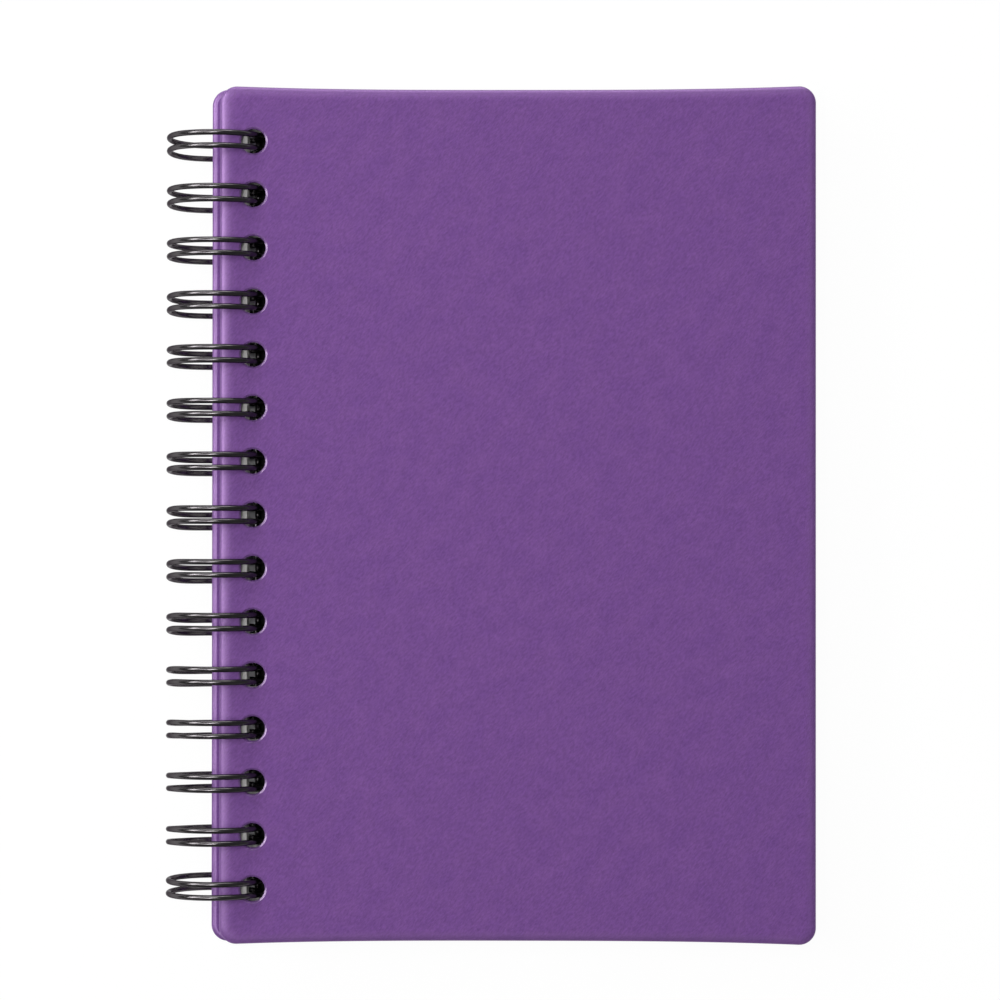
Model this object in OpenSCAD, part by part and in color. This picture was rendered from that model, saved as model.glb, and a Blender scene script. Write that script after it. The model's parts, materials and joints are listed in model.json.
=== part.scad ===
// Notebook bound with one twin-loop wire: two hard covers in leatherette, a block of
// pages between them, and a black wire whose closed loops pass through round holes.
// Length runs along Y, width along X, the spine is on the left, and the front cover is on top.
// The origin lies on the table, under the middle of the notebook.

/* [Covers] */
// Length of the front cover along the spine, corner to corner
cover_l = 204.1; // [160:0.1:240]
// Width of the front cover, from spine edge to fore edge
cover_w = 141.8; // [100:0.1:180]
// How far the back cover reaches past the front cover on every side
back_reach = 0.7; // [0:0.1:2]
// Radius of the cover's four corners
corner_r = 4; // [3:0.5:10]
// How far the head and tail edges dip between two corners
edge_bow = 0.85; // [0:0.05:2]
// Thickness of the stiff board inside a cover
board_t = 1.5; // [1.2:0.1:2.4]
// Thickness of the leatherette skin
skin_t = 0.25; // [0.2:0.05:0.4]
// Thickness of the glue between skin, board and lining
glue_t = 0.05; // [0.03:0.01:0.1]
// Width of the soft roll along the outer face's edge
roll_w = 2.8; // [1.4:0.1:3.2]
// Width of the rounding where the skin turns in, which is half as high as it is wide
fold_w = 1.2; // [0.8:0.1:1.3]
// Width of the skin that is turned in over the board's inner face
turn_in = 15; // [13:0.5:20]
// Thickness of the paper lining inside a cover
lining_t = 0.15; // [0.1:0.05:0.25]
// Distance from the cover's edge to the lining's edge
lining_inset = 2.5; // [1.5:0.5:5]

/* [Binding holes] */
// Distance between neighbouring loops
loop_pitch = 12.7; // [10:0.1:16]
// Least distance from the cover's ends to the middle of the first and last hole
end_margin = 10; // [8:0.5:16]
// Distance from the front cover's spine edge to the middle of its holes
hole_margin = 7.95; // [7:0.05:9]
// Clearance round a loop's two wires in their hole
hole_clear = 0.83; // [0.75:0.01:1.2]
// Size of the pressed rim round a hole in the outer skin
rim = 0.15; // [0.05:0.01:0.18]
// How far the front cover has slid towards the spine in its loops
front_slide = 0.9; // [0:0.05:1]

/* [Wire] */
// Outside diameter of the closed loops
loop_od = 23.56; // [21:0.1:30]
// Diameter of the wire
wire_d = 1.36; // [1:0.02:1.5]
// Distance between the two wires of a loop, centre to centre
leg_gap = 3.09; // [2.9:0.01:3.4]
// Bend radius where a wire turns into the base between two loops
elbow_r = 1; // [0.9:0.1:1.5]
// Clearance between a loop's closed tip and the base that it meets
tip_clear = 0.3; // [0.2:0.1:0.6]
// Clearance above and below the wire where the loops close, under the pages
seam_clear = 0.2; // [0.1:0.05:0.4]
// Height of the back cover above the lowest point of the loops
back_lift = 2.35; // [2.2:0.05:3]

/* [Pages] */
// Number of sheets
sheet_count = 80; // [40:1:100]
// Thickness of one sheet
sheet_t = 0.1; // [0.08:0.01:0.11]
// How far the front cover's corners reach past the pages at the head and at the tail
head_overhang = 3.1; // [2:0.1:8]
// How far the front cover reaches past the pages at the fore edge
fore_overhang = 3; // [2:0.1:8]
// Radius of a sheet's corners
page_corner_r = 3; // [1:0.5:8]
// Distance from a sheet's spine edge to the middle of its holes
page_hole_margin = 6.4; // [5.5:0.1:7]
// How far the pages have slid away from the spine in their loops
page_slide = 0.6; // [0:0.05:0.8]
// Gap between the pages and the front cover's lining
page_gap = 0.3; // [0.2:0.1:1]

/* [Hidden] */

// Facets round a hole, round the wire and along its bends
$fn = 48;
wire_sides = 14;
bend_sides = 40;
// Segments in a corner, along a head or tail edge, in the roll, in the fold and in an elbow
corner_steps = 8;
edge_steps = 10;
roll_steps = 6;
fold_steps = 3;
elbow_steps = 2;
base_sides = 8;
// How far a cut reaches past the solid that it cuts
eps = 0.5;
// How far the base's ends are sunk in the legs, and how much thinner it is
plunge = 0.1;
base_step = 0.01;

// The loops: radius of the wire's centre line, height of their axis, and their number
ring_r = (loop_od - wire_d) / 2;
axis_z = loop_od / 2;
loop_count = floor((cover_l - 2 * end_margin) / loop_pitch) + 1;
loop_ys = [for (i = [0 : loop_count - 1]) (i - (loop_count - 1) / 2) * loop_pitch];
hole_r = (leg_gap + wire_d) / 2 + hole_clear;

// Heights of the stack, measured from the loops' axis and counted up from the back cover
cover_t = board_t + 2 * skin_t + 2 * glue_t;
lining_drop = lining_t + glue_t;
back_outer_z = back_lift - axis_z;
back_inner_z = back_outer_z + cover_t;
seam_z = back_inner_z + lining_drop + seam_clear + wire_d / 2;
page_z = seam_z + wire_d / 2 + seam_clear;
page_t = sheet_count * sheet_t;
front_inner_z = page_z + page_t + page_gap + lining_drop;
front_outer_z = front_inner_z + cover_t;

// Where the loops' centre line runs at a height z on its right half, from the axis
function ring_x(z) = sqrt(ring_r * ring_r - z * z);
function mid_ring_x(low, high) = (ring_x(low) + ring_x(high)) / 2;

// Middle of each layer's holes, from the loops' axis
front_hole_x = mid_ring_x(front_inner_z, front_outer_z) - front_slide;
back_hole_x = mid_ring_x(back_inner_z, back_outer_z);
page_hole_x = mid_ring_x(page_z, page_z + page_t) + page_slide;

// Spine edges and sizes of each layer, from the loops' axis
front_left = front_hole_x - hole_margin;
back_left = back_hole_x - hole_margin - back_reach;
page_left = page_hole_x - page_hole_margin;
back_w = cover_w + 2 * back_reach;
back_l = cover_l + 2 * back_reach;
page_w = front_left + cover_w - fore_overhang - page_left;
page_l = cover_l - 2 * head_overhang;
right_end = max(front_left + cover_w, back_left + back_w);
axis_x = (ring_r + wire_d / 2 - right_end) / 2;

// Angles on the loop, from +X: the legs' lower ends, where the base starts, and the tips above
base_angle = asin((seam_z - elbow_r * sqrt(1 - pow(seam_z / ring_r, 2))) / ring_r);
tip_reach = sqrt(pow(leg_gap / 2 + elbow_r + wire_d + tip_clear, 2) - pow(leg_gap / 2 + elbow_r, 2));
tip_angle = base_angle + 180 / PI * tip_reach / ring_r;

// Colours
purple = [0.45, 0.31, 0.54];
grey_board = [0.28, 0.27, 0.26];
endpaper = [0.13, 0.13, 0.135];
paper_white = [0.96, 0.95, 0.93];
wire_black = [0.05, 0.05, 0.055];

// Outline of a cover or sheet: round corners, and head and tail edges that dip by bow.
// It is pulled in by inset on every side, and has the same number of points each time.
function outline(w, l, r, bow, inset = 0) =
    let (hw = w / 2 - inset, hl = l / 2 - inset, cr = max(r - inset, 0.2), span = hw - cr)
    concat(
        [for (i = [0 : corner_steps]) corner_point(hw, hl, cr, 0, 90 * i / corner_steps)],
        [for (i = [1 : edge_steps - 1]) edge_point(span, hl, bow, 1 - 2 * i / edge_steps, 1)],
        [for (i = [0 : corner_steps]) corner_point(hw, hl, cr, 1, 90 + 90 * i / corner_steps)],
        [for (i = [0 : corner_steps]) corner_point(hw, hl, cr, 2, 180 + 90 * i / corner_steps)],
        [for (i = [1 : edge_steps - 1]) edge_point(span, hl, bow, 2 * i / edge_steps - 1, -1)],
        [for (i = [0 : corner_steps]) corner_point(hw, hl, cr, 3, 270 + 90 * i / corner_steps)]);

function corner_point(hw, hl, r, quarter, angle) =
    let (sx = (quarter == 0 || quarter == 3) ? 1 : -1, sy = quarter < 2 ? 1 : -1)
    [sx * (hw - r) + r * cos(angle), sy * (hl - r) + r * sin(angle)];

function edge_point(span, hl, bow, t, side) = [t * span, side * (hl - bow * (1 - pow(abs(t), 3)))];

// Section of a cover's edge: [inset, height] from the turned-in face up to the outer face
function edge_section(t, fold, roll, roll_h) = concat(
    [for (i = [0 : fold_steps])
        let (a = 90 * i / fold_steps) [fold * (1 - sin(a)), fold / 2 * (1 - cos(a))]],
    [for (i = [0 : roll_steps])
        let (a = 90 * i / roll_steps) [roll * (1 - cos(a)), t - roll_h * (1 - sin(a))]]);

// Solid slab with that outline and that edge, its turned-in face at height 0
module rolled_slab(w, l, r, inset, t, fold, roll, roll_h) {
    section = edge_section(t, fold, roll, roll_h);
    rings = [for (s = section) outline(w, l, r, edge_bow, inset + s[0])];
    n = len(rings[0]);
    m = len(rings);
    points = [for (k = [0 : m - 1]) for (p = rings[k]) [p[0], p[1], section[k][1]]];
    walls = [for (k = [0 : m - 2]) for (i = [0 : n - 1])
        let (j = (i + 1) % n) [k * n + i, k * n + n + i, k * n + n + j, k * n + j]];
    polyhedron(points, concat(walls, [[for (i = [0 : n - 1]) i]],
        [[for (i = [n - 1 : -1 : 0]) (m - 1) * n + i]]), convexity = 4);
}

// One round punch per loop, from height low to high
module punches(x, low, high) {
    for (y = loop_ys)
        translate([x, y, low])
            cylinder(h = high - low, r = hole_r);
}

// A cover's three layers lie with the turned-in face at height 0 and the outer face up.
// hole_x is the middle of the holes, measured from the cover's own middle.
module board(w, l, hole_x) {
    inset = skin_t + glue_t;
    difference() {
        translate([0, 0, inset])
            rolled_slab(w, l, corner_r, inset, board_t, fold_w - inset / 2, roll_w - inset, board_t / 2);
        punches(hole_x, 0, cover_t);
    }
}

module skin(w, l, hole_x) {
    inset = skin_t;
    difference() {
        rolled_slab(w, l, corner_r, 0, cover_t, fold_w, roll_w, board_t / 2 + inset);
        translate([0, 0, inset])
            rolled_slab(w, l, corner_r, inset, board_t + 2 * glue_t, fold_w - inset / 2, roll_w - inset,
                board_t / 2 + glue_t);
        translate([0, 0, -eps])
            linear_extrude(eps + skin_t + glue_t)
                polygon(outline(w, l, corner_r, edge_bow, turn_in));
        punches(hole_x, -eps, cover_t + eps);
        for (y = loop_ys)
            translate([hole_x, y, cover_t - rim])
                cylinder(h = 2 * rim, r1 = hole_r, r2 = hole_r + 2 * rim);
    }
}

// The lining lies over the turned-in skin and steps down onto the board inside it
module lining(w, l, hole_x) {
    step = skin_t + glue_t;
    difference() {
        translate([0, 0, -lining_drop]) {
            linear_extrude(lining_t)
                polygon(outline(w, l, corner_r, edge_bow, lining_inset));
            linear_extrude(lining_t + step)
                polygon(outline(w, l, corner_r, edge_bow, turn_in + glue_t));
        }
        translate([0, 0, -lining_drop - eps])
            linear_extrude(eps + step)
                polygon(outline(w, l, corner_r, edge_bow, turn_in + glue_t + lining_t));
        punches(hole_x, -eps, cover_t);
    }
}

// Puts a layer of the front cover in its place, outer face up
module place_front() {
    translate([axis_x + front_left + cover_w / 2, 0, axis_z + front_inner_z])
        children();
}

// Puts a layer of the back cover in its place, outer face down
module place_back() {
    translate([axis_x + back_left + back_w / 2, 0, axis_z + back_inner_z])
        mirror([0, 0, 1])
            children();
}

module front_board() {
    color(grey_board)
        place_front()
            board(cover_w, cover_l, hole_margin - cover_w / 2);
}

module front_skin() {
    color(purple)
        place_front()
            skin(cover_w, cover_l, hole_margin - cover_w / 2);
}

module front_lining() {
    color(endpaper)
        place_front()
            lining(cover_w, cover_l, hole_margin - cover_w / 2);
}

module back_board() {
    color(grey_board)
        place_back()
            board(back_w, back_l, hole_margin + back_reach - back_w / 2);
}

module back_skin() {
    color(purple)
        place_back()
            skin(back_w, back_l, hole_margin + back_reach - back_w / 2);
}

module back_lining() {
    color(endpaper)
        place_back()
            lining(back_w, back_l, hole_margin + back_reach - back_w / 2);
}

// All sheets as one block, punched like the covers
module page_block() {
    color(paper_white)
        translate([axis_x + page_left + page_w / 2, 0, axis_z + page_z])
            difference() {
                linear_extrude(page_t)
                    polygon(outline(page_w, page_l, page_corner_r, 0));
                punches(page_hole_margin - page_w / 2, -eps, page_t + eps);
            }
}

// A bent stretch of wire in the plane of X and Y, from +X through the given angle
module bend(r, angle) {
    rotate_extrude(angle = angle, $fn = bend_sides)
        translate([r, 0])
            circle(d = wire_d, $fn = wire_sides);
}

// Puts children at an angle on the loop: X becomes the notebook's length, and Y the loop's
// direction, towards smaller angles if down is 1 and larger angles if it is -1
module on_loop(angle, down) {
    rotate([0, -angle, 0])
        translate([ring_r, 0, 0])
            rotate([0, -90 * down, 0])
                rotate([0, 0, 90])
                    children();
}

// The two round legs of a loop and the closed tip that joins them. A thin core runs from each
// leg into the tip, so that they stay one wire at any size.
module loop() {
    for (side = [-1, 1])
        translate([0, side * leg_gap / 2, 0]) {
            rotate([90, 0, 0])
                rotate([0, 0, tip_angle])
                    bend(ring_r, 360 - tip_angle + base_angle);
            on_loop(tip_angle, 1)
                rotate([90, 0, 0])
                    cylinder(h = wire_d, d = wire_d / 2, center = true, $fn = wire_sides);
        }
    on_loop(tip_angle, 1)
        bend(leg_gap / 2, 180);
}

// Points along the base as [length, height above the legs' ends, heading]: an elbow that leaves
// a leg at y, and one that comes back down to a leg at y
function elbow_out(y) = concat([[y, -plunge, 0]], [for (i = [0 : elbow_steps])
    let (t = 90 * i / elbow_steps) [y + elbow_r * (1 - cos(t)), elbow_r * sin(t), t]]);
function elbow_in(y) = concat([for (i = [elbow_steps : -1 : 0])
    let (t = 90 * i / elbow_steps) [y - elbow_r * (1 - cos(t)), elbow_r * sin(t), 180 - t]],
    [[y, -plunge, 180]]);

// Wire along such a path, a hair thinner than the legs that its ends are sunk in
module base_wire(path) {
    r = wire_d / 2 - base_step;
    n = base_sides;
    m = len(path);
    points = [for (p = path) for (k = [0 : n - 1])
        let (a = 360 * (k + 0.5) / n, u = r * cos(a))
        [p[0] + u * cos(p[2]), p[1] - u * sin(p[2]), r * sin(a)]];
    walls = [for (i = [0 : m - 2]) for (k = [0 : n - 1])
        let (j = (k + 1) % n) [i * n + k, i * n + j, i * n + n + j, i * n + n + k]];
    ends = [[for (k = [n - 1 : -1 : 0]) k], [for (k = [0 : n - 1]) (m - 1) * n + k]];
    on_loop(base_angle, -1)
        polyhedron(points, concat(walls, ends), convexity = 4);
}

// One wire: it runs up each loop, round its tip, back, and along the base to the next loop.
// It was cut from a longer one midway between two loops, so it ends in two short stubs.
module wire_binding() {
    first = loop_ys[0] - leg_gap / 2;
    last = loop_ys[loop_count - 1] + leg_gap / 2;
    stub = (loop_pitch - leg_gap) / 2;
    color(wire_black)
        translate([axis_x, 0, axis_z]) {
            for (y = loop_ys)
                translate([0, y, 0])
                    loop();
            for (i = [0 : loop_count - 2])
                base_wire(concat(elbow_out(loop_ys[i] + leg_gap / 2), elbow_in(loop_ys[i + 1] - leg_gap / 2)));
            base_wire(concat([[first - stub, elbow_r, 90]], elbow_in(first)));
            base_wire(concat(elbow_out(last), [[last + stub, elbow_r, 90]]));
        }
}

wire_binding();
page_block();
front_board();
front_skin();
front_lining();
back_board();
back_skin();
back_lining();
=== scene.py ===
"""A notebook with two leatherette covers, a block of sheets and a black twin-loop wire, lying on a
white table and seen from straight above. Sizes are in metres; the pieces take their places from the
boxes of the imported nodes."""

import json
import math

import bmesh
import bpy
from mathutils import Matrix, Vector


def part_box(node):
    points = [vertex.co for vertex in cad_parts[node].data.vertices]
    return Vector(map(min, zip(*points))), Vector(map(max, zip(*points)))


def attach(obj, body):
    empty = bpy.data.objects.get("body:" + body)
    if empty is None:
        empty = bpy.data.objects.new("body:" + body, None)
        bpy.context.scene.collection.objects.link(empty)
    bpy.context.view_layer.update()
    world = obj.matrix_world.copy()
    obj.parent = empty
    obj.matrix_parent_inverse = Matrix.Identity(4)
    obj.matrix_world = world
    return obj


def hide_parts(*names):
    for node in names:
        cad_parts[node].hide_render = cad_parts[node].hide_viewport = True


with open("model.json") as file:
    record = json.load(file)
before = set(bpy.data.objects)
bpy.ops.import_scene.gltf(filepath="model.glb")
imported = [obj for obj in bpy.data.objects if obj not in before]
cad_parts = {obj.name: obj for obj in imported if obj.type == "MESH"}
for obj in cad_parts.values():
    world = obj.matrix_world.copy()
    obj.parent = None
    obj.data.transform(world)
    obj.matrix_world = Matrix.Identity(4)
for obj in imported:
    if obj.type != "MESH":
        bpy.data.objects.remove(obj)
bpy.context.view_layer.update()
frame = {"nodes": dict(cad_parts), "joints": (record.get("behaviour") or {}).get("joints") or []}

MM = 0.001

# The binding: one wire, bent into closed loops in pairs of legs
LOOP_COUNT = 15
LOOP_PITCH = 12.7 * MM
WIRE_D = 1.36 * MM
WIRE_SIDES = 14
LEG_GAP = 3.09 * MM
ELBOW_R = 1.0 * MM
TIP_CLEAR = 0.3 * MM
SEAM_CLEAR = 0.2 * MM
TURN_SHORT = 0.05 * MM  # each end of a loop's line stops this far short of half a pitch

# The loops' lean along the spine, which is full at the lowest point of a middle loop's free back
LEAN = -1.45 * MM
LEAN_VARIATION = 1.4 * MM
LEAN_SEED = 46803.0
HELD_OUT = 4.5 * MM  # no lean from this far out of the loop's middle, where the holes hold it
FREE_OUT = -1.5 * MM  # no hold from here back
STILL_HEIGHT = 0.8  # no lean above this height over the middle, in loop radii
FULL_HEIGHT = -0.9  # and all of it below this one
END_LOSS = 0.75  # share of the lean that is missing at the ends of the row

# The covers: soft roll along the outer edge, tight fold where the skin turns in
CORNER_R = 4.0 * MM
LEAST_CORNER_R = 0.2 * MM
EDGE_BOW = 0.85 * MM
SKIN_T = 0.25 * MM
ROLL_W = 2.8 * MM
ROLL_H = 1.0 * MM
FOLD_W = 1.2 * MM
FOLD_H = 0.6 * MM
FLAT_STRIP = 0.06 * MM  # level strip that ends a roll, a fold or a rim
TURN_IN = 15.0 * MM
HOLE_R = 3.055 * MM
HOLE_STEPS = 48
FRONT_LIP = 0.12 * MM
RIM_W = 0.46 * MM
RIM_H = 0.23 * MM
RIM_SOFTNESS = 0.03  # share of the rim's width over which its slope sets in
RIM_UNDERCUT = 0.02 * MM  # from the foot of a rim down to the skin's inside
FACE_SLOT, RIM_SLOT = 0, 1
FRONT_HOLE_MARGIN = 7.95 * MM
BACK_REACH = 0.7 * MM

# How far in from the edge the skin is fully stretched, and how far in the stretch ends: farther
# than the roll and its strip, and farther still at the spine
STRETCH_FULL = 0.9 * MM
STRETCH_END = 3.0 * MM
SPINE_STRETCH_END = 4.0 * MM

# The pages
SHEET_COUNT = 80
SHEET_FACES = (0.03, 0.95)  # heights of a sheet's two faces, in sheet pitches
SHEET_PLAY = 0.06 * MM
SHEET_SEED = 7
PAGE_CORNER_R = 3.0 * MM
PAGE_HOLE_MARGIN = 6.4 * MM
PAGE_HOLE_HALF = 3.2 * MM
PAGE_HOLE_ROUND = 0.5 * MM

hinge = next(j for j in frame["joints"] if j["name"] == "front_cover_hinge")
AXIS = Vector(hinge["pos_m"])
wire_low, wire_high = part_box("wire_binding")
RING_R = (wire_high.z - wire_low.z - WIRE_D) / 2


# Outlines

def outline(w, l, r, bow, inset=0.0, corner_steps=16, edge_steps=24):
    """Corner by corner round a cover or sheet whose head and tail edges dip by bow."""
    half_w, half_l, r = w / 2 - inset, l / 2 - inset, max(r - inset, LEAST_CORNER_R)
    span = half_w - r

    def corner(quarter):
        sx = 1 if quarter in (0, 3) else -1
        sy = 1 if quarter < 2 else -1
        angles = [math.radians(90 * (quarter + i / corner_steps)) for i in range(corner_steps + 1)]
        return [(sx * span + r * math.cos(a), sy * (half_l - r) + r * math.sin(a)) for a in angles]

    def edge(side):
        ts = [side * (1 - 2 * i / edge_steps) for i in range(1, edge_steps)]
        return [(t * span, side * (half_l - bow * (1 - abs(t) ** 3))) for t in ts]

    return corner(0) + edge(1) + corner(1) + corner(2) + edge(-1) + corner(3)


def circle(x, y, r, steps):
    return [(x + r * math.cos(math.tau * i / steps), y + r * math.sin(math.tau * i / steps))
            for i in range(steps)]


def soft_square(x, y, half, r, corner_steps=4):
    """A square with round corners, as sheets are punched."""
    turns = [(quarter, math.radians(90 * (quarter + i / corner_steps)))
             for quarter in range(4) for i in range(corner_steps + 1)]
    return [(x + (1 if quarter in (0, 3) else -1) * (half - r) + r * math.cos(a),
             y + (1 if quarter < 2 else -1) * (half - r) + r * math.sin(a)) for quarter, a in turns]


def loop_ys():
    return [(i - (LOOP_COUNT - 1) / 2) * LOOP_PITCH for i in range(LOOP_COUNT)]


# Mesh helpers

def add_ring(bm, points, z):
    return [bm.verts.new((x, y, z)) for x, y in points]


def bridge(bm, low, high, slot=0):
    n = len(low)
    for i in range(n):
        j = (i + 1) % n
        bm.faces.new((low[i], low[j], high[j], high[i])).material_index = slot


def fill(bm, rings):
    """Flat face bounded by the first ring, with the other rings as its holes."""
    edges = []
    for ring in rings:
        for a, b in zip(ring, ring[1:] + ring[:1]):
            edges.append(bm.edges.get((a, b)) or bm.edges.new((a, b)))
    bmesh.ops.triangle_fill(bm, use_beauty=True, use_dissolve=False, edges=edges)


def add_object(name, data):
    obj = bpy.data.objects.new(name, data)
    bpy.context.scene.collection.objects.link(obj)
    return obj


def finish_mesh(bm, name, materials, sharp=35):
    bmesh.ops.recalc_face_normals(bm, faces=bm.faces)
    mesh = bpy.data.meshes.new(name)
    bm.to_mesh(mesh)
    bm.free()
    for material in materials:
        mesh.materials.append(material)
    mesh.shade_smooth()
    mesh.set_sharp_from_angle(angle=math.radians(sharp))
    return add_object(name, mesh)


# Material helpers

def srgb(r, g, b):
    """A colour given in the eye's 0 to 255 scale, as the shader wants it."""
    def linear(c):
        c /= 255
        return c / 12.92 if c <= 0.04045 else ((c + 0.055) / 1.055) ** 2.4
    return (linear(r), linear(g), linear(b), 1.0)


class Shader:
    """A new material with its Principled node, and short calls to add and join nodes."""

    def __init__(self, name):
        self.material = bpy.data.materials.new(name)
        self.material.use_nodes = True
        self.nodes = self.material.node_tree.nodes
        self.links = self.material.node_tree.links
        self.bsdf = next(n for n in self.nodes if n.type == "BSDF_PRINCIPLED")
        self.coords = self.nodes.new("ShaderNodeTexCoord").outputs["Object"]

    def set(self, **values):
        for key, value in values.items():
            self.bsdf.inputs[key.replace("_", " ")].default_value = value

    def add(self, kind, **values):
        node = self.nodes.new(kind)
        for key, value in values.items():
            if key in node.bl_rna.properties:
                setattr(node, key, value)
            elif isinstance(value, bpy.types.NodeSocket):
                self.links.new(value, node.inputs[key])
            else:
                node.inputs[key].default_value = value
        return node

    def join(self, output, key):
        self.links.new(output, self.bsdf.inputs[key])

    def mapped(self, scale, turn):
        """Object coordinates, turned about Z and stretched, in cells per metre."""
        turned = self.add("ShaderNodeMapping", vector_type="POINT", Vector=self.coords,
                          Rotation=(0, 0, math.radians(turn)))
        return self.add("ShaderNodeMapping", vector_type="POINT", Vector=turned.outputs[0],
                        Scale=scale).outputs[0]

    def noise(self, scale, turn=0.0, detail=2.0, roughness=0.5):
        return self.add("ShaderNodeTexNoise", Vector=self.mapped(scale, turn), Scale=1.0,
                        Detail=detail, Roughness=roughness).outputs["Fac"]

    def ramp(self, fac, low, high):
        """A colour between two ends, each given as (place, colour on the eye's scale)."""
        node = self.add("ShaderNodeValToRGB", Fac=fac)
        for element, (place, colour) in zip(node.color_ramp.elements, (low, high)):
            element.position, element.color = place, srgb(*colour)
        return node.outputs["Color"]

    def feed(self, node, numbers, values):
        for number, value in zip(numbers, values):
            if isinstance(value, bpy.types.NodeSocket):
                self.links.new(value, node.inputs[number])
            else:
                node.inputs[number].default_value = value

    def mix(self, blend, fac, a, b):
        node = self.add("ShaderNodeMix", data_type="RGBA", blend_type=blend)
        self.feed(node, (0, 6, 7), (fac, a, b))
        return node.outputs[2]

    def between(self, fac, a, b):
        """A number that goes from a to b as fac goes from 0 to 1."""
        node = self.add("ShaderNodeMix", data_type="FLOAT")
        self.feed(node, (0, 2, 3), (fac, a, b))
        return node.outputs[0]

    def layer(self, name):
        """The U of one of the mesh's own UV layers."""
        place = self.nodes.new("ShaderNodeUVMap")
        place.uv_map = name
        return self.add("ShaderNodeSeparateXYZ", Vector=place.outputs[0]).outputs[0]

    def spread(self, fac, low, high):
        return self.add("ShaderNodeMapRange", Value=fac, **{"To Min": low, "To Max": high}).outputs[0]

    def bump(self, *layers):
        """Layers of (height, depth in metres) laid over each other as one bump."""
        normal = None
        for height, depth in layers:
            node = self.add("ShaderNodeBump", Height=height, Distance=depth, Strength=1.0)
            if normal is not None:
                self.links.new(normal, node.inputs["Normal"])
            normal = node.outputs[0]
        self.join(normal, "Normal")


# Materials

# How far a noise is turned about Z in degrees, its cells per metre along the turned axes, and the
# depth of the relief made from it
GRAIN_TURN = -48
FIBRE_TURN = 17
CLOUD_CELLS = (170, 230, 170)
GRAIN_CELLS = (1100, 2900, 2900)
PORE_CELLS = (2400, 3800, 3000)
STREAK_CELLS = (1500, 1500, 3000)
FIBRE_CELLS = (900, 2600, 6000)
FLECK_CELLS = (1800, 1800, 5200)
PEEL_CELLS = (700, 700, 700)
PATCH_CELLS = (160, 160, 160)
GRAIN_DEPTH = 0.021 * MM
PORE_DEPTH = 0.008 * MM
STREAK_DEPTH = 0.003 * MM
FIBRE_DEPTH = 0.004 * MM
FLECK_DEPTH = 0.02 * MM
PEEL_DEPTH = 0.0015 * MM


def leatherette():
    """Satin purple leatherette: faint clouds and a fine brushed grain that climbs to the right, and
    a glossier skin where it is stretched over an edge."""
    s = Shader("purple_leatherette")
    stretch = s.layer("stretch")
    clouds = s.noise(CLOUD_CELLS, GRAIN_TURN, 4.0, 0.6)
    tint = s.ramp(clouds, (0.34, (101, 66, 127)), (0.66, (106, 70, 130)))
    grain = s.noise(GRAIN_CELLS, GRAIN_TURN, 3.0, 0.6)
    pores = s.noise(PORE_CELLS, GRAIN_TURN, 1.0, 0.5)
    s.join(s.mix("MULTIPLY", 1.0, tint, s.spread(grain, 0.57, 1.42)), "Base Color")
    s.join(s.between(stretch, s.spread(pores, 0.5, 0.6), s.spread(pores, 0.36, 0.44)), "Roughness")
    s.join(s.between(stretch, 0.14, 1.0), "Specular IOR Level")
    s.join(s.between(stretch, 1.5, 1.7), "IOR")
    s.bump((grain, GRAIN_DEPTH), (pores, PORE_DEPTH))
    s.set(Specular_Tint=srgb(236, 196, 255))
    return s.material


def stretched_leatherette():
    """The same skin where the punch has pulled it smooth and glossy round a hole."""
    s = Shader("stretched_leatherette")
    streaks = s.noise(STREAK_CELLS)
    s.join(s.ramp(streaks, (0.3, (92, 60, 116)), (0.7, (104, 70, 128))), "Base Color")
    s.bump((streaks, STREAK_DEPTH))
    s.set(Roughness=0.26, Specular_IOR_Level=1.0, IOR=1.7, Specular_Tint=srgb(248, 228, 255))
    return s.material


def paper(name, low, high):
    """Paper whose fibres vary from the low colour to the high one."""
    s = Shader(name)
    fibres = s.noise(FIBRE_CELLS, FIBRE_TURN, 4.0, 0.65)
    s.join(s.ramp(fibres, (0.3, low), (0.7, high)), "Base Color")
    s.bump((fibres, FIBRE_DEPTH))
    s.set(Roughness=0.85, Specular_IOR_Level=0.25)
    return s.material


def board_darkened_as_shade():
    """Dull board with flecks, darkened to near black as painted shade on the hole walls where it
    shows.
    """
    s = Shader("board_core_painted_shade")
    flecks = s.noise(FLECK_CELLS, detail=4.0, roughness=0.7)
    # These near-black greys are painted shade, so the board's edges inside the holes look shaded.
    s.join(s.ramp(flecks, (0.3, (30, 29, 28)), (0.7, (52, 50, 48))), "Base Color")
    s.bump((flecks, FLECK_DEPTH))
    s.set(Roughness=0.9, Specular_IOR_Level=0.2)
    return s.material


def black_wire():
    """Wire with a glossy black-nickel coat: a faint orange peel and a few duller patches."""
    s = Shader("black_wire")
    peel = s.noise(PEEL_CELLS)
    patches = s.noise(PATCH_CELLS)
    s.join(s.ramp(patches, (0.35, (90, 87, 89)), (0.65, (98, 95, 97))), "Base Color")
    s.join(s.spread(patches, 0.2, 0.27), "Roughness")
    s.bump((peel, PEEL_DEPTH))
    s.set(Metallic=1.0, Specular_Tint=srgb(160, 157, 160))
    return s.material


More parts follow.
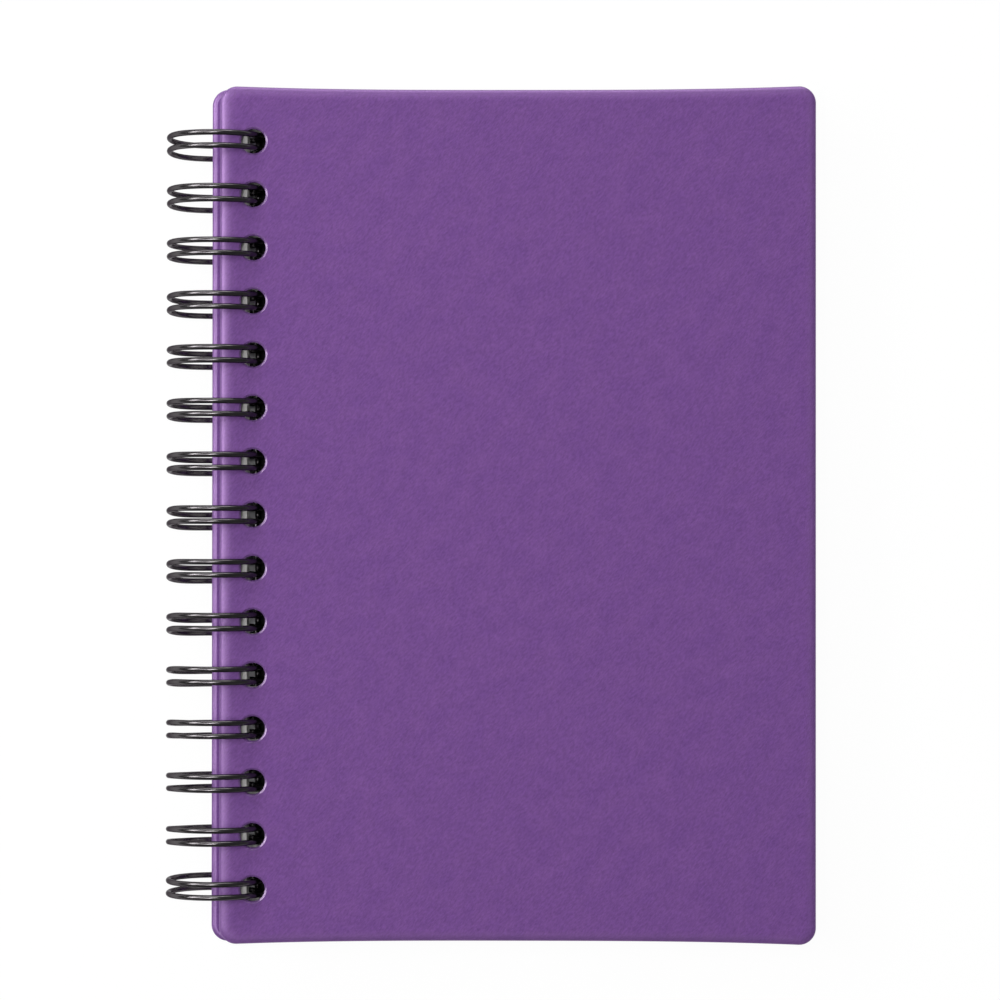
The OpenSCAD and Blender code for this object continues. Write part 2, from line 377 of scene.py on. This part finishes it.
def table_white(name, own_white):
    """White paint that takes the notebook's shadow. To the camera and to reflections a share of
    it, own_white, is white by itself."""
    material = bpy.data.materials.new(name)
    material.use_nodes = True
    nodes, links = material.node_tree.nodes, material.node_tree.links
    nodes.clear()
    lit = nodes.new("ShaderNodeBsdfDiffuse")
    lit.inputs["Color"].default_value = (0.95, 0.95, 0.95, 1)
    white = nodes.new("ShaderNodeEmission")
    white.inputs["Strength"].default_value = 1.0
    path = nodes.new("ShaderNodeLightPath")
    seen = path.outputs["Is Camera Ray"]
    for ray in ("Is Glossy Ray", "Is Transmission Ray"):
        either = nodes.new("ShaderNodeMath")
        either.operation = "MAXIMUM"
        links.new(seen, either.inputs[0])
        links.new(path.outputs[ray], either.inputs[1])
        seen = either.outputs[0]
    share = nodes.new("ShaderNodeMath")
    share.operation = "MULTIPLY"
    share.inputs[1].default_value = own_white
    links.new(seen, share.inputs[0])
    blend = nodes.new("ShaderNodeMixShader")
    links.new(share.outputs[0], blend.inputs[0])
    links.new(lit.outputs[0], blend.inputs[1])
    links.new(white.outputs[0], blend.inputs[2])
    links.new(blend.outputs[0], nodes.new("ShaderNodeOutputMaterial").inputs[0])
    return material


# Covers

def edge_profile(t, steps=14, fold_steps=10):
    """Section of a cover's edge from the turned-in face up to the outer face: (inset, height)."""
    fold = [(FOLD_W * (1 - math.sin(a)), FOLD_H * (1 - math.cos(a)))
            for a in (math.pi / 2 * i / fold_steps for i in range(fold_steps + 1))]
    roll = [(ROLL_W * (1 - math.cos(a)), t - ROLL_H * (1 - math.sin(a)))
            for a in (math.pi / 2 * i / steps for i in range(steps + 1))]
    return fold + roll


def rim_profile(steps=6):
    """Section of the pressed rim round a hole: (way in from its outer edge, drop). After a short
    soft start it slopes evenly down to the hole."""
    full = math.hypot(1, RIM_SOFTNESS) - RIM_SOFTNESS
    return [(RIM_W * u, RIM_H * (math.hypot(u, RIM_SOFTNESS) - RIM_SOFTNESS) / full)
            for u in (i / steps for i in range(steps + 1))]


def write_layer(bm, name, values):
    """A UV layer whose U holds a value for each vertex, and 0 where none is given."""
    layer = bm.loops.layers.uv.new(name)
    for face in bm.faces:
        for corner in face.loops:
            corner[layer].uv = (values.get(corner.vert, 0), 0.5)


class Skin:
    """The growing mesh of one cover's skin. Height runs from the turned-in face, at 0, to the outer
    face, at t."""

    def __init__(self, low, high, margin):
        self.bm = bmesh.new()
        self.w, self.l, self.t = high.x - low.x, high.y - low.y, high.z - low.z
        self.hole_x = margin - self.w / 2
        self.inner_z = self.t - RIM_H - RIM_UNDERCUT
        self.stretch = {}

    def edge_ring(self, inset, z):
        return add_ring(self.bm, outline(self.w, self.l, CORNER_R, EDGE_BOW, inset), z)

    def stretched_ring(self, inset, z):
        """An edge ring that also notes how much the skin is stretched there, from 0 to 1."""
        ring = self.edge_ring(inset, z)
        for vert in ring:
            end = SPINE_STRETCH_END if vert.co.x < CORNER_R - self.w / 2 else STRETCH_END
            share = (end - inset) / (end - STRETCH_FULL)
            self.stretch[vert] = min(max(share, 0), 1) ** 2
        return ring

    def hole_rings(self, z, r):
        return [add_ring(self.bm, circle(self.hole_x, y, r, HOLE_STEPS), z) for y in loop_ys()]

    def bridge_holes(self, uppers, lowers, slot=FACE_SLOT):
        for upper, lower in zip(uppers, lowers):
            bridge(self.bm, upper, lower, slot)

    def outer_surface(self, under, hole_r):
        """Round the fold and the roll to the flat face, which stays open where the rims begin."""
        flat = [(inset, self.t) for inset in (ROLL_W + FLAT_STRIP, STRETCH_END, SPINE_STRETCH_END)]
        last = under
        for inset, z in edge_profile(self.t) + flat:
            ring = self.stretched_ring(inset, z)
            bridge(self.bm, last, ring)
            last = ring
        mouths = self.hole_rings(self.t, hole_r + RIM_W + FLAT_STRIP)
        fill(self.bm, [last] + mouths)
        return mouths

    def rims(self, mouths, hole_r):
        """The rims, and the walls of the holes down to the skin's inside."""
        for inset, drop in rim_profile():
            rings = self.hole_rings(self.t - drop, hole_r + RIM_W - inset)
            self.bridge_holes(mouths, rings, RIM_SLOT if drop else FACE_SLOT)
            mouths = rings
        inner = self.hole_rings(self.inner_z, hole_r)
        self.bridge_holes(mouths, inner, RIM_SLOT)
        return inner

    def inside(self, inner):
        """The side that lies on the board's face and edges, down to the turn-in."""
        ceiling = self.edge_ring(ROLL_W, self.inner_z)
        fill(self.bm, [ceiling] + inner)
        floor = self.edge_ring(SKIN_T + FOLD_W, SKIN_T)
        wall = self.edge_ring(SKIN_T, SKIN_T + FOLD_H)
        shoulder = self.edge_ring(SKIN_T, self.t - ROLL_H)
        bridge(self.bm, ceiling, shoulder)
        bridge(self.bm, shoulder, wall)
        bridge(self.bm, wall, floor)
        return floor

    def turn_in(self, floor, under, turned_edge):
        """The turned-in margin, which has its own holes."""
        upper_rings = self.hole_rings(SKIN_T, HOLE_R)
        turned_top = self.edge_ring(TURN_IN, SKIN_T)
        fill(self.bm, [floor, turned_top] + upper_rings)
        bridge(self.bm, turned_top, turned_edge)
        lower_rings = self.hole_rings(0, HOLE_R)
        self.bridge_holes(upper_rings, lower_rings)
        fill(self.bm, [under, turned_edge] + lower_rings)


def cover_skin(name, node, margin, lip, outer_up, materials):
    """The skin of one cover: outer face, rolled edge, fold and turned-in margin, with a soft rim
    pressed into it round each hole, where it closes in over the board's hole by the lip."""
    low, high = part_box(node)
    skin = Skin(low, high, margin)
    turned_edge = skin.edge_ring(TURN_IN, 0)
    under = skin.edge_ring(FOLD_W + FLAT_STRIP, 0)
    mouths = skin.outer_surface(under, HOLE_R - lip)
    inner = skin.rims(mouths, HOLE_R - lip)
    floor = skin.inside(inner)
    skin.turn_in(floor, under, turned_edge)
    write_layer(skin.bm, "stretch", skin.stretch)
    centre = (low + high) / 2
    flip = Matrix.Diagonal((1, 1, 1 if outer_up else -1, 1))
    base = Vector((centre.x, centre.y, low.z if outer_up else high.z))
    skin.bm.transform(Matrix.Translation(base) @ flip)
    return finish_mesh(skin.bm, name, materials)


# Geometry-node helpers

class Tree:
    """A geometry tree with named inputs, and short calls to add and join nodes."""

    def __init__(self, name, inputs):
        """Inputs are given as label: (kind, value)."""
        self.group = bpy.data.node_groups.new(name, "GeometryNodeTree")
        self.values = {label: value for label, (kind, value) in inputs.items()}
        face = self.group.interface
        face.new_socket("Geometry", in_out="INPUT", socket_type="NodeSocketGeometry")
        for label, (kind, value) in inputs.items():
            socket = face.new_socket(label, in_out="INPUT", socket_type="NodeSocket" + kind)
            socket.default_value = value
        face.new_socket("Geometry", in_out="OUTPUT", socket_type="NodeSocketGeometry")
        self.inputs = self.group.nodes.new("NodeGroupInput").outputs
        self.last = self.group.nodes.new("NodeGroupOutput")

    def add(self, kind, *wired, **values):
        """Wired sockets are given as (input, output) pairs, and plain values by name."""
        node = self.group.nodes.new(kind)
        for key, value in values.items():
            setattr(node, key, value)
        for key, value in wired:
            socket = node.inputs[key]
            if isinstance(value, bpy.types.NodeSocket):
                self.group.links.new(value, socket)
            else:
                socket.default_value = value
        return node

    def math(self, operation, *terms):
        return self.add("ShaderNodeMath", *enumerate(terms), operation=operation).outputs[0]

    def product(self, first, *others):
        for other in others:
            first = self.math("MULTIPLY", first, other)
        return first

    def vector(self, **parts):
        return self.add("ShaderNodeCombineXYZ", *parts.items()).outputs[0]

    def smooth_range(self, value, zero_at, one_at):
        """0 up to one value and 1 from another, with a soft way between them."""
        return self.add("ShaderNodeMapRange", ("Value", value), ("From Min", zero_at),
                        ("From Max", one_at), interpolation_type="SMOOTHSTEP").outputs[0]

    def ends(self, geometry):
        """Real geometry, and its material, at the end."""
        real = self.add("GeometryNodeRealizeInstances", ("Geometry", geometry))
        dressed = self.add("GeometryNodeSetMaterial", ("Geometry", real.outputs[0]),
                           ("Material", self.inputs["Material"]))
        self.group.links.new(dressed.outputs[0], self.last.inputs[0])


def run_tree(tree, source, name):
    """The tree's result on the source object, as a plain mesh object with no modifier."""
    modifier = source.modifiers.new("shape", "NODES")
    modifier.node_group = tree.group
    for item in tree.group.interface.items_tree:
        if item.in_out == "INPUT" and item.name in tree.values:
            modifier[item.identifier] = tree.values[item.name]
    bpy.context.view_layer.update()
    graph = bpy.context.evaluated_depsgraph_get()
    mesh = bpy.data.meshes.new_from_object(source.evaluated_get(graph), depsgraph=graph)
    mesh.name = name
    bpy.data.objects.remove(source)
    return add_object(name, mesh)


# Wire

def loop_angles():
    """Where on its ring a loop's legs leave the base, and where its closed tip stands."""
    seam_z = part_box("back_lining")[1].z + SEAM_CLEAR + WIRE_D / 2 - AXIS.z
    cosine = math.sqrt(1 - (seam_z / RING_R) ** 2)
    base = math.asin((seam_z - ELBOW_R * cosine) / RING_R)
    half = LEG_GAP / 2
    reach = math.sqrt((half + ELBOW_R + WIRE_D + TIP_CLEAR) ** 2 - (half + ELBOW_R) ** 2)
    return base, base + reach / RING_R


def on_ring(angle, y, along=0.0):
    """A place on a loop's ring, or off it by a way along its tangent."""
    return Vector((AXIS.x + RING_R * math.cos(angle) - along * math.sin(angle), y,
                   AXIS.z + RING_R * math.sin(angle) + along * math.cos(angle)))


def one_turn(leg_steps=64, tip_steps=12, elbow_steps=6):
    """Middle line of one loop: along the base, up a leg, round the closed tip, back down the other
    leg, and on along the base."""
    base, tip = loop_angles()
    half = LEG_GAP / 2
    elbow = [on_ring(base, -half - ELBOW_R * (1 - math.cos(a)), ELBOW_R * math.sin(a))
             for a in (math.pi / 2 * (1 - i / elbow_steps) for i in range(elbow_steps))]
    sweep = math.tau + base - tip
    leg = [on_ring(base - sweep * i / leg_steps, -half) for i in range(leg_steps + 1)]
    turn = [on_ring(tip, -half * math.cos(a), -half * math.sin(a))
            for a in (math.pi * i / tip_steps for i in range(1, tip_steps // 2))]
    way = [on_ring(base, -LOOP_PITCH / 2 + TURN_SHORT, ELBOW_R)] + elbow + leg + turn
    crown = [on_ring(tip, 0, -half)]
    back = [Vector((p.x, -p.y, p.z)) for p in reversed(way)]
    return way + crown + back


def turn_curve():
    data = bpy.data.curves.new("turn", "CURVE")
    data.dimensions = "3D"
    spline = data.splines.new("POLY")
    points = one_turn()
    spline.points.add(len(points) - 1)
    for point, place in zip(spline.points, points):
        point.co = (*place, 1)
    return add_object("turn", data)


def row_of_turns(tree, start):
    """The loops in a row from the start, joined end to end as the one line of the wire."""
    ins = tree.inputs
    line = tree.add("GeometryNodeMeshLine", ("Count", ins["Loops"]),
                    ("Start Location", tree.vector(Y=start)),
                    ("Offset", tree.vector(Y=ins["Pitch"])), mode="OFFSET")
    row = tree.add("GeometryNodeInstanceOnPoints", ("Points", line.outputs[0]),
                   ("Instance", ins["Geometry"]))
    real = tree.add("GeometryNodeRealizeInstances", ("Geometry", row.outputs[0]))
    dots = tree.add("GeometryNodeCurveToPoints", ("Curve", real.outputs[0]), mode="EVALUATED")
    index = tree.add("GeometryNodeInputIndex").outputs[0]
    return tree.add("GeometryNodePointsToCurves", ("Points", dots.outputs[0]),
                    ("Weight", index)).outputs[0]


def lean_shift(tree, start):
    """How far each place moves along the spine: a loop leans a little at its free back, and not
    where the holes hold it, less at the ends of the row, and more or less by chance."""
    ins = tree.inputs
    spot = tree.add("GeometryNodeInputPosition").outputs[0]
    parts = tree.add("ShaderNodeSeparateXYZ", ("Vector", spot)).outputs
    free = tree.smooth_range(tree.math("SUBTRACT", parts[0], ins["Axis X"]), HELD_OUT, FREE_OUT)
    depth = tree.smooth_range(tree.math("SUBTRACT", parts[2], ins["Axis Z"]),
                              STILL_HEIGHT * RING_R, FULL_HEIGHT * RING_R)
    place = tree.math("DIVIDE", parts[1], tree.math("ABSOLUTE", start))
    middle = tree.math("SUBTRACT", 1.0, tree.product(place, place, END_LOSS))
    number = tree.math("ROUND", tree.math("DIVIDE", parts[1], ins["Pitch"]))
    chance = tree.add("ShaderNodeTexWhiteNoise", ("W", tree.math("ADD", number, ins["Seed"])),
                      noise_dimensions="1D").outputs[0]
    wander = tree.math("MULTIPLY", tree.math("SUBTRACT", chance, 0.5), ins["Lean variation"])
    lean = tree.math("ADD", tree.math("MULTIPLY", middle, ins["Lean"]), wander)
    return tree.product(free, depth, lean)


def wire_binding(material):
    """The whole wire: a round tube along the row of leaning loops."""
    tree = Tree("row_of_loops", {
        "Wire diameter": ("Float", WIRE_D), "Loops": ("Int", LOOP_COUNT),
        "Pitch": ("Float", LOOP_PITCH), "Lean": ("Float", LEAN),
        "Lean variation": ("Float", LEAN_VARIATION), "Axis X": ("Float", AXIS.x),
        "Axis Z": ("Float", AXIS.z), "Seed": ("Float", LEAN_SEED),
        "Material": ("Material", material)})
    ins = tree.inputs
    start = tree.product(tree.math("SUBTRACT", ins["Loops"], 1.0), ins["Pitch"], -0.5)
    leant = tree.add("GeometryNodeSetPosition", ("Geometry", row_of_turns(tree, start)),
                     ("Offset", tree.vector(Y=lean_shift(tree, start))))
    section = tree.add("GeometryNodeCurvePrimitiveCircle", ("Resolution", WIRE_SIDES),
                       ("Radius", tree.math("DIVIDE", ins["Wire diameter"], 2.0)))
    tube = tree.add("GeometryNodeCurveToMesh", ("Curve", leant.outputs[0]),
                    ("Profile Curve", section.outputs[0]), ("Fill Caps", True))
    smooth = tree.add("GeometryNodeSetShadeSmooth", ("Geometry", tube.outputs[0]))
    tree.ends(smooth.outputs[0])
    return run_tree(tree, turn_curve(), "twin_loop_wire")


# Pages

def one_sheet(low, high):
    """A single punched sheet, in the lowest place of the stack."""
    w, l = high.x - low.x - 2 * SHEET_PLAY, high.y - low.y - 2 * SHEET_PLAY
    pitch = (high.z - low.z) / SHEET_COUNT
    centre = (low + high) / 2
    hole_x = low.x + PAGE_HOLE_MARGIN - centre.x
    bm = bmesh.new()
    rims, holes = [], []
    for z in (share * pitch for share in SHEET_FACES):
        rims.append(add_ring(bm, outline(w, l, PAGE_CORNER_R, 0, corner_steps=8, edge_steps=2), z))
        holes.append([add_ring(bm, soft_square(hole_x, y, PAGE_HOLE_HALF, PAGE_HOLE_ROUND), z)
                      for y in loop_ys()])
        fill(bm, [rims[-1]] + holes[-1])
    bridge(bm, *rims)
    for lower, upper in zip(*holes):
        bridge(bm, lower, upper)
    bm.transform(Matrix.Translation((centre.x, centre.y, low.z)))
    return finish_mesh(bm, "sheet", [])


def page_sheets(material):
    """The stack, with each sheet strayed a little sideways within the play."""
    low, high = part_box("page_block")
    tree = Tree("stack_of_sheets", {
        "Sheets": ("Int", SHEET_COUNT), "Sheet pitch": ("Float", (high.z - low.z) / SHEET_COUNT),
        "Play": ("Float", SHEET_PLAY), "Seed": ("Int", SHEET_SEED),
        "Material": ("Material", material)})
    ins = tree.inputs
    line = tree.add("GeometryNodeMeshLine", ("Count", ins["Sheets"]),
                    ("Offset", tree.vector(Z=ins["Sheet pitch"])), mode="OFFSET")
    reach = tree.vector(X=ins["Play"], Y=ins["Play"])
    back = tree.add("ShaderNodeVectorMath", (0, reach), (1, (-1.0, -1.0, -1.0)),
                    operation="MULTIPLY").outputs[0]
    stray = tree.add("FunctionNodeRandomValue", ("Min", back), ("Max", reach),
                     ("Seed", ins["Seed"]), data_type="FLOAT_VECTOR").outputs[0]
    spots = tree.add("GeometryNodeSetPosition", ("Geometry", line.outputs[0]), ("Offset", stray))
    stack = tree.add("GeometryNodeInstanceOnPoints", ("Points", spots.outputs[0]),
                     ("Instance", ins["Geometry"]))
    tree.ends(stack.outputs[0])
    return run_tree(tree, one_sheet(low, high), "page_sheets")


# Dressing

def dress(node, material):
    data = frame["nodes"][node].data
    data.materials.clear()
    data.materials.append(material)


skin_finish = leatherette()
rim_finish = stretched_leatherette()
# The endpaper is painted near black: painted shade for the deep holes, where the lining shows at
# their walls and bottoms.
shade_dark_lining_finish = paper("endpaper", (26, 25, 27), (38, 36, 39))
page_finish = paper("page_paper", (236, 234, 232), (246, 244, 242))
shade_dark_board_finish = board_darkened_as_shade()
wire_finish = black_wire()

front = cover_skin("front_cover_skin", "front_skin", FRONT_HOLE_MARGIN, FRONT_LIP, True,
                   [skin_finish, rim_finish])
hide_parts("front_skin")
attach(front, "front_cover")

back = cover_skin("back_cover_skin", "back_skin", FRONT_HOLE_MARGIN + BACK_REACH, 0, False,
                  [skin_finish, rim_finish])
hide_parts("back_skin")
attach(back, "back_cover")

wire = wire_binding(wire_finish)
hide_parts("wire_binding")
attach(wire, "notebook")

pages = page_sheets(page_finish)
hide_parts("page_block")
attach(pages, "notebook")

for side in ("front", "back"):
    dress(side + "_board", shade_dark_board_finish)
    dress(side + "_lining", shade_dark_lining_finish)


# Table, light and camera

TABLE_HALF = 20.0
HIDDEN_HALF = (66 * MM, 98 * MM)
OWN_WHITE = 0.96
SKY_STRENGTH = 0.14

# Name, place, width and length, power, and the place it is aimed at
SOFTBOXES = (
    ("left_softbox", (-0.95, 0.42, 0.8), (1.1, 0.36), 9.8, (0, 0.3, 0)),
    ("head_softbox", (0.0, 1.2, 0.4), (1.2, 0.4), 6.0, (0, 0, 0)),
    ("high_left_softbox", (-0.72, 0.12, 1.35), (0.4, 0.55), 3.8, (0, 0, 0)),
    ("top_softbox", (-0.17, 0.1, 1.6), (1.0, 0.3), 12.2, (0, 0, 0)),
)

# The photo's camera: sensor and lens in millimetres, turn in degrees
SENSOR_WIDTH = 36.0
FOCAL_LENGTH = 126.5
CLIP_START = 0.05
CAMERA_PLACE = (9.3 * MM, -3.1 * MM, 851.9 * MM)
CAMERA_TURN = (0.456, 0.475, 0.042)


def white_table(half, hidden):
    """A table that is white out to the edge of the view, with a plainly lit middle patch that the
    notebook hides. Both are given by half their size."""
    xs, ys = (-half, -hidden[0], hidden[0], half), (-half, -hidden[1], hidden[1], half)
    low_corners = [len(xs) * row + column for row in range(3) for column in range(3)]
    mesh = bpy.data.meshes.new("table")
    mesh.from_pydata([(x, y, 0) for y in ys for x in xs], [],
                     [(i, i + 1, i + 5, i + 4) for i in low_corners])
    mesh.materials.append(table_white("table_paint", OWN_WHITE))
    mesh.materials.append(table_white("hidden_table_paint", 0.0))
    mesh.polygons[len(low_corners) // 2].material_index = 1
    table = add_object("table", mesh)


def softbox(name, place, size, power, target):
    lamp = bpy.data.lights.new(name, "AREA")
    lamp.shape = "RECTANGLE"
    lamp.size, lamp.size_y = size
    lamp.energy = power
    obj = add_object(name, lamp)
    obj.location = place
    obj.rotation_euler = (Vector(target) - Vector(place)).to_track_quat("-Z", "Y").to_euler()


def white_sky(strength):
    world = bpy.data.worlds.new("studio")
    bpy.context.scene.world = world
    world.use_nodes = True
    sky = world.node_tree.nodes["Background"]
    sky.inputs["Color"].default_value = (1, 1, 1, 1)
    sky.inputs["Strength"].default_value = strength


def photo_camera():
    lens = bpy.data.cameras.new("camera")
    lens.sensor_width = SENSOR_WIDTH
    lens.lens = FOCAL_LENGTH
    lens.clip_start = CLIP_START
    camera = add_object("camera", lens)
    camera.location = CAMERA_PLACE
    camera.rotation_mode = "ZYX"
    camera.rotation_euler = [math.radians(angle) for angle in CAMERA_TURN]
    bpy.context.scene.camera = camera


white_table(TABLE_HALF, HIDDEN_HALF)
for box in SOFTBOXES:
    softbox(*box)
white_sky(SKY_STRENGTH)
photo_camera()
bpy.context.scene.view_settings.view_transform = "Standard"
